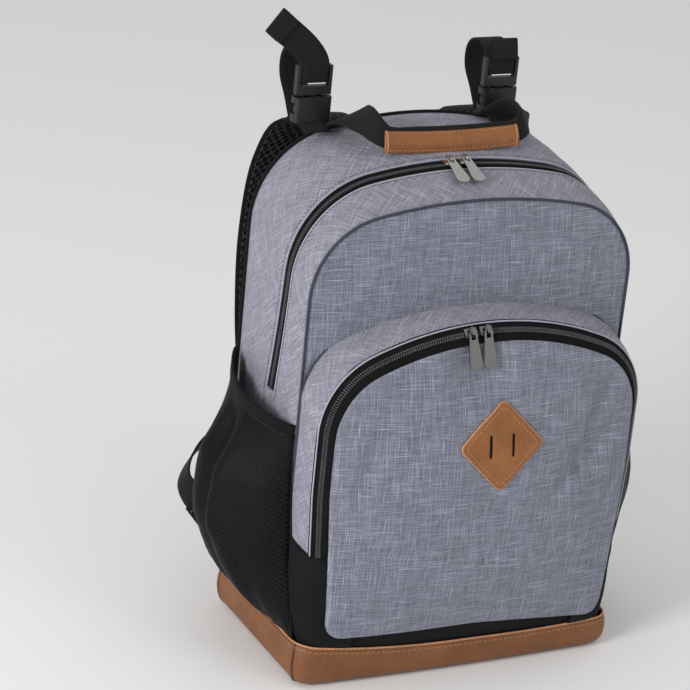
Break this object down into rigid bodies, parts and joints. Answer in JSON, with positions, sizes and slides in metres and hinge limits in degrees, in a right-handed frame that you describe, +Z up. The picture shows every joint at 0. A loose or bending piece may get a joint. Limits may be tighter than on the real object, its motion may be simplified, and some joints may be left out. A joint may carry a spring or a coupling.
{
  "type": "diaper bag",
  "caption": "Backpack diaper bag with a zipped main compartment, fold-down front pocket, mesh side pockets, tan base and stroller straps.",
  "frame": {"origin": "centre of the leather base's flat underside", "axes": "+Z up, -Y towards the front pocket's face, +X towards the wearer's left"},
  "size_m": [0.3908, 0.2608, 0.5316],
  "materials": {
    "melange": "grey cross-hatched polyester",
    "black_cloth": "plain black polyester",
    "mesh": "open-hole black mesh",
    "webbing": "black woven webbing",
    "leather": "tan pebbled imitation leather",
    "zipper": "black woven tape with a nylon coil",
    "nickel": "polished nickel plate",
    "plastic": "black moulded nylon",
    "lining": "light grey lining",
    "foam": "foam sheet"
  },
  "bodies": {
    "bag": {"leather_base": "leather", "base_board": "plastic", "rear_gusset": "melange", "front_gusset": "melange", "main_zip_tape_rear": "zipper", "main_zip_tape_front": "zipper", "main_front_panel": "melange", "front_piping": "black_cloth", "back_panel": "mesh", "back_foam_sheet": "foam", "side_panel_left": "melange", "side_panel_right": "melange", "pocket_gusset": "melange", "pocket_piping": "black_cloth", "pocket_side_left": "black_cloth", "pocket_side_right": "black_cloth", "pocket_zip_tape_outer": "zipper", "pocket_panel_lower": "melange", "pocket_bottom_band": "black_cloth", "organiser_pocket": "lining", "rear_pocket": "lining", "mesh_pocket_left": "mesh", "mesh_pocket_right": "mesh", "elastic_binding_left": "black_cloth", "elastic_binding_right": "black_cloth", "anchor_tab_left": "black_cloth", "anchor_tab_right": "black_cloth", "stroller_loop_left": "webbing", "stroller_loop_right": "webbing", "buckle_male_left": "plastic", "buckle_male_right": "plastic", "buckle_female_left": "plastic", "buckle_female_right": "plastic", "anchor_webbing_left": "webbing", "anchor_webbing_right": "webbing"},
    "flap": {"pocket_flap": "melange", "pocket_zip_tape_inner": "zipper", "lash_patch": "leather"},
    "handle": {"handle_webbing": "webbing", "handle_wrap": "leather"},
    "shoulder_left": {"shoulder_pad_left": "black_cloth", "ladder_lock_left": "plastic", "lower_webbing_left": "webbing"},
    "shoulder_right": {"shoulder_pad_right": "black_cloth", "ladder_lock_right": "plastic", "lower_webbing_right": "webbing"},
    "main_slider_left": {"main_slider_left": "nickel"},
    "main_pull_left": {"main_pull_left": "nickel"},
    "main_slider_right": {"main_slider_right": "nickel"},
    "main_pull_right": {"main_pull_right": "nickel"},
    "pocket_slider_left": {"pocket_slider_left": "nickel"},
    "pocket_pull_left": {"pocket_pull_left": "nickel"},
    "pocket_slider_right": {"pocket_slider_right": "nickel"},
    "pocket_pull_right": {"pocket_pull_right": "nickel"},
    "buckle_prong_left_left": {"buckle_prong_left_left": "plastic"},
    "buckle_prong_left_right": {"buckle_prong_left_right": "plastic"},
    "buckle_prong_right_left": {"buckle_prong_right_left": "plastic"},
    "buckle_prong_right_right": {"buckle_prong_right_right": "plastic"}
  },
  "joints": [
    {"name": "pocket_flap_fold", "type": "hinge", "parent": "bag", "child": "flap", "pos_m": [0, -0.1143, 0.12815], "axis": [1, 0, 0], "range_deg": [0, 60], "deforming": ["pocket_zip_tape_inner", "pocket_zip_tape_outer"]},
    {"name": "handle_swing", "type": "hinge", "parent": "bag", "child": "handle", "pos_m": [0, 0.058, 0.432], "axis": [-1, 0, 0], "range_deg": [0, 38]},
    {"name": "shoulder_strap_left_swing", "type": "hinge", "parent": "bag", "child": "shoulder_left", "pos_m": [-0.05, 0.104, 0.404], "axis": [1, 0, 0], "range_deg": [0, 15], "deforming": ["lower_webbing_left"]},
    {"name": "shoulder_strap_right_swing", "type": "hinge", "parent": "bag", "child": "shoulder_right", "pos_m": [0.05, 0.104, 0.404], "axis": [1, 0, 0], "range_deg": [0, 15], "deforming": ["lower_webbing_right"]},
    {"name": "main_slider_left_travel", "type": "hinge", "parent": "bag", "child": "main_slider_left", "pos_m": [0, -0.008, -0.003], "axis": [0, -1, 0], "range_deg": [0, 8.4]},
    {"name": "main_pull_left_flip", "type": "hinge", "parent": "main_slider_left", "child": "main_pull_left", "pos_m": [-0.01334, -0.0097, 0.43129], "axis": [-0.9995, 0, -0.0307], "range_deg": [0, 110]},
    {"name": "main_slider_right_travel", "type": "hinge", "parent": "bag", "child": "main_slider_right", "pos_m": [0, -0.008, -0.003], "axis": [0, 1, 0], "range_deg": [0, 10]},
    {"name": "main_pull_right_flip", "type": "hinge", "parent": "main_slider_right", "child": "main_pull_right", "pos_m": [0.00121, -0.0097, 0.4315], "axis": [-1, 0, 0.0028], "range_deg": [0, 110]},
    {"name": "pocket_slider_left_travel", "type": "hinge", "parent": "flap", "child": "pocket_slider_left", "pos_m": [0, -0.09185, 0.038], "axis": [0, -1, 0], "range_deg": [0, 13]},
    {"name": "pocket_pull_left_flip", "type": "hinge", "parent": "pocket_slider_left", "child": "pocket_pull_left", "pos_m": [-0.02374, -0.09623, 0.31195], "axis": [-0.9963, 0, -0.0863], "range_deg": [0, 100]},
    {"name": "pocket_slider_right_travel", "type": "hinge", "parent": "flap", "child": "pocket_slider_right", "pos_m": [0, -0.09185, 0.038], "axis": [0, 1, 0], "range_deg": [0, 20]},
    {"name": "pocket_pull_right_flip", "type": "hinge", "parent": "pocket_slider_right", "child": "pocket_pull_right", "pos_m": [-0.00962, -0.09623, 0.31281], "axis": [-0.9994, 0, -0.035], "range_deg": [0, 100]},
    {"name": "buckle_prong_left_left_pinch", "type": "hinge", "parent": "bag", "child": "buckle_prong_left_left", "pos_m": [-0.1111, 0.079, 0.4624], "axis": [0, -1, 0], "range_deg": [0, 14], "stiffness_Nm_per_rad": 0.05},
    {"name": "buckle_prong_left_right_pinch", "type": "hinge", "parent": "bag", "child": "buckle_prong_left_right", "pos_m": [-0.0909, 0.079, 0.4624], "axis": [0, 1, 0], "range_deg": [0, 14], "stiffness_Nm_per_rad": 0.05},
    {"name": "buckle_prong_right_left_pinch", "type": "hinge", "parent": "bag", "child": "buckle_prong_right_left", "pos_m": [0.0659, 0.079, 0.4624], "axis": [0, -1, 0], "range_deg": [0, 14], "stiffness_Nm_per_rad": 0.05},
    {"name": "buckle_prong_right_right_pinch", "type": "hinge", "parent": "bag", "child": "buckle_prong_right_right", "pos_m": [0.0861, 0.079, 0.4624], "axis": [0, 1, 0], "range_deg": [0, 14], "stiffness_Nm_per_rad": 0.05}
  ],
  "couplings": [
    {"joint": "buckle_prong_left_right_pinch", "follows": "buckle_prong_left_left_pinch", "ratio": 1},
    {"joint": "buckle_prong_right_right_pinch", "follows": "buckle_prong_right_left_pinch", "ratio": 1}
  ]
}
